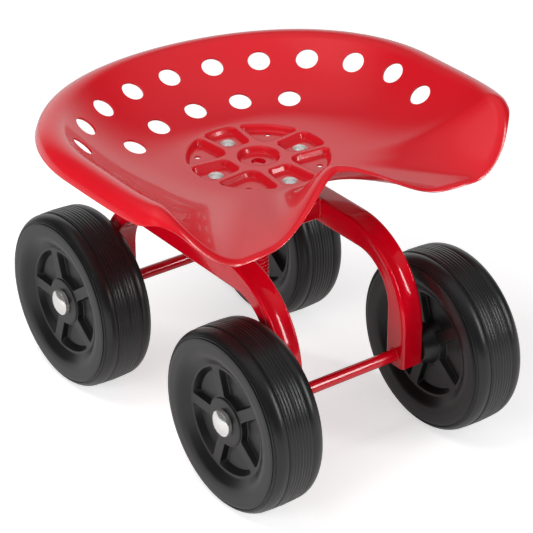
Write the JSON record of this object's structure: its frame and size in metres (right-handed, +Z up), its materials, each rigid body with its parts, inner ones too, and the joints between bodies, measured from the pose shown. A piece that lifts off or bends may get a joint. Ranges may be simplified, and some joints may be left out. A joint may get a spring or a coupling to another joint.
{
  "type": "rolling garden seat",
  "caption": "Low rolling work seat: pressed steel tractor-style seat on a screw spindle over a square-tube frame with free-turning moulded wheels.",
  "frame": {"origin": "on the floor, midway between the wheels, under the spindle axis", "axes": "+Z up, the seat faces -Y, the axles run along X"},
  "size_m": [0.423, 0.45, 0.3156],
  "materials": {
    "seat_paint": "satin red powder coat",
    "frame_paint": "gloss red powder coat",
    "zinc": "bright zinc plate",
    "wheel_plastic": "semi-matt moulded black",
    "cap_chrome": "bright"
  },
  "bodies": {
    "frame": {"left_arch": "frame_paint", "right_arch": "frame_paint", "cross_tube": "frame_paint", "spindle_bush": "frame_paint", "front_axle": "frame_paint", "rear_axle": "frame_paint", "front_left_cap": "cap_chrome", "front_right_cap": "cap_chrome", "rear_left_cap": "cap_chrome", "rear_right_cap": "cap_chrome"},
    "stop": {"stop_washer": "zinc"},
    "seat": {"seat_pan": "seat_paint", "seat_plate": "frame_paint", "seat_bolts": "zinc", "seat_washers": "zinc", "seat_nuts": "zinc", "spindle": "frame_paint", "stop_bolt": "zinc"},
    "wheel_front_left": {"front_left_wheel": "wheel_plastic"},
    "wheel_front_right": {"front_right_wheel": "wheel_plastic"},
    "wheel_rear_left": {"rear_left_wheel": "wheel_plastic"},
    "wheel_rear_right": {"rear_right_wheel": "wheel_plastic"}
  },
  "joints": [
    {"name": "seat_height", "type": "slide", "parent": "frame", "child": "stop", "axis": [0, 0, 1], "range_m": [-0.032, 0.047]},
    {"name": "seat_turn", "type": "hinge", "parent": "stop", "child": "seat", "pos_m": [0, 0, 0.2], "axis": [0, 0, 1], "range_deg": [-2880, 4230]},
    {"name": "front_left_spin", "type": "hinge", "parent": "frame", "child": "wheel_front_left", "pos_m": [-0.117, -0.136, 0.089], "axis": [1, 0, 0], "continuous": true},
    {"name": "front_right_spin", "type": "hinge", "parent": "frame", "child": "wheel_front_right", "pos_m": [0.117, -0.136, 0.089], "axis": [1, 0, 0], "continuous": true},
    {"name": "rear_left_spin", "type": "hinge", "parent": "frame", "child": "wheel_rear_left", "pos_m": [-0.117, 0.136, 0.089], "axis": [1, 0, 0], "continuous": true},
    {"name": "rear_right_spin", "type": "hinge", "parent": "frame", "child": "wheel_rear_right", "pos_m": [0.117, 0.136, 0.089], "axis": [1, 0, 0], "continuous": true}
  ],
  "couplings": [
    {"joint": "seat_height", "follows": "seat_turn", "m_per_rad": 0.00063662}
  ]
}
